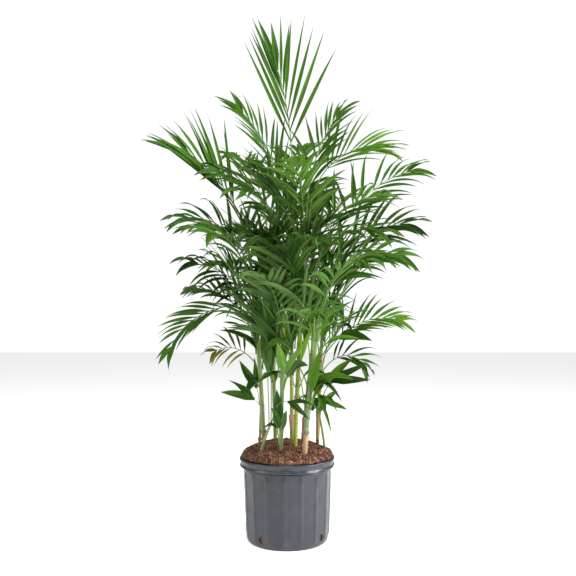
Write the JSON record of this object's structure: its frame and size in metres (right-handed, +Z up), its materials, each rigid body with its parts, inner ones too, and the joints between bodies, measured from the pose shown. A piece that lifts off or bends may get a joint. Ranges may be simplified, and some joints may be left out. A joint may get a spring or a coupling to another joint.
{
  "type": "potted bamboo palm",
  "caption": "Potted bamboo palm: upright ringed canes with arching feather fronds, in a round fluted nursery pot filled with fibrous potting mix.",
  "frame": {"origin": "centre of the pot's flat underside, on the ground", "axes": "+Z up along the plant; the side seen in the picture faces -Y, with +X on its right"},
  "size_m": [0.8205, 0.8214, 1.4651],
  "materials": {
    "pot": "satin slate-grey blown plastic, slightly worn",
    "potting_mix": "loose reddish-brown bark fibre",
    "cane": "green cane with pale leaf scars and tan sheath remains",
    "frond": "living leaf, mid green, waxy",
    "young_leaf": "living leaf, waxy",
    "new_growth": "unopened leaf, lime green"
  },
  "bodies": {
    "root": {"cane_a": "cane", "cane_b": "cane", "cane_c": "cane", "cane_d": "cane", "cane_e": "cane", "cane_f": "cane", "cane_g": "cane", "cane_h": "cane", "cane_i": "cane", "cane_j": "cane", "cane_k": "cane", "frond_back_1": "frond", "frond_back_10": "frond", "frond_back_2": "frond", "frond_back_3": "frond", "frond_back_4": "frond", "frond_back_5": "frond", "frond_back_6": "frond", "frond_back_7": "frond", "frond_back_8": "frond", "frond_back_9": "frond", "frond_front_1": "frond", "frond_front_2": "frond", "frond_front_3": "frond", "frond_front_4": "frond", "frond_front_5": "frond", "frond_front_6": "frond", "frond_front_7": "frond", "frond_front_8": "frond", "frond_inner_left": "frond", "frond_inner_right": "frond", "frond_left_high": "frond", "frond_left_low": "frond", "frond_left_middle": "frond", "frond_left_short": "frond", "frond_left_thin": "frond", "frond_right_arching": "frond", "frond_right_high": "frond", "frond_right_low": "frond", "frond_right_middle": "frond", "frond_right_small": "frond", "frond_top": "frond", "frond_upper_left": "frond", "frond_upper_left_inner": "frond", "frond_upper_right": "frond", "frond_upper_right_spread": "frond", "new_spear": "new_growth", "pot": "pot", "potting_mix": "potting_mix", "young_leaf_a": "young_leaf", "young_leaf_b": "young_leaf", "young_leaf_b_high": "young_leaf", "young_leaf_c": "young_leaf", "young_leaf_d": "young_leaf", "young_leaf_e": "young_leaf", "young_leaf_e_left": "young_leaf", "young_leaf_g": "young_leaf", "young_leaf_h": "young_leaf", "young_leaf_h_low": "young_leaf", "young_leaf_k": "young_leaf"}
  },
  "joints": []
}
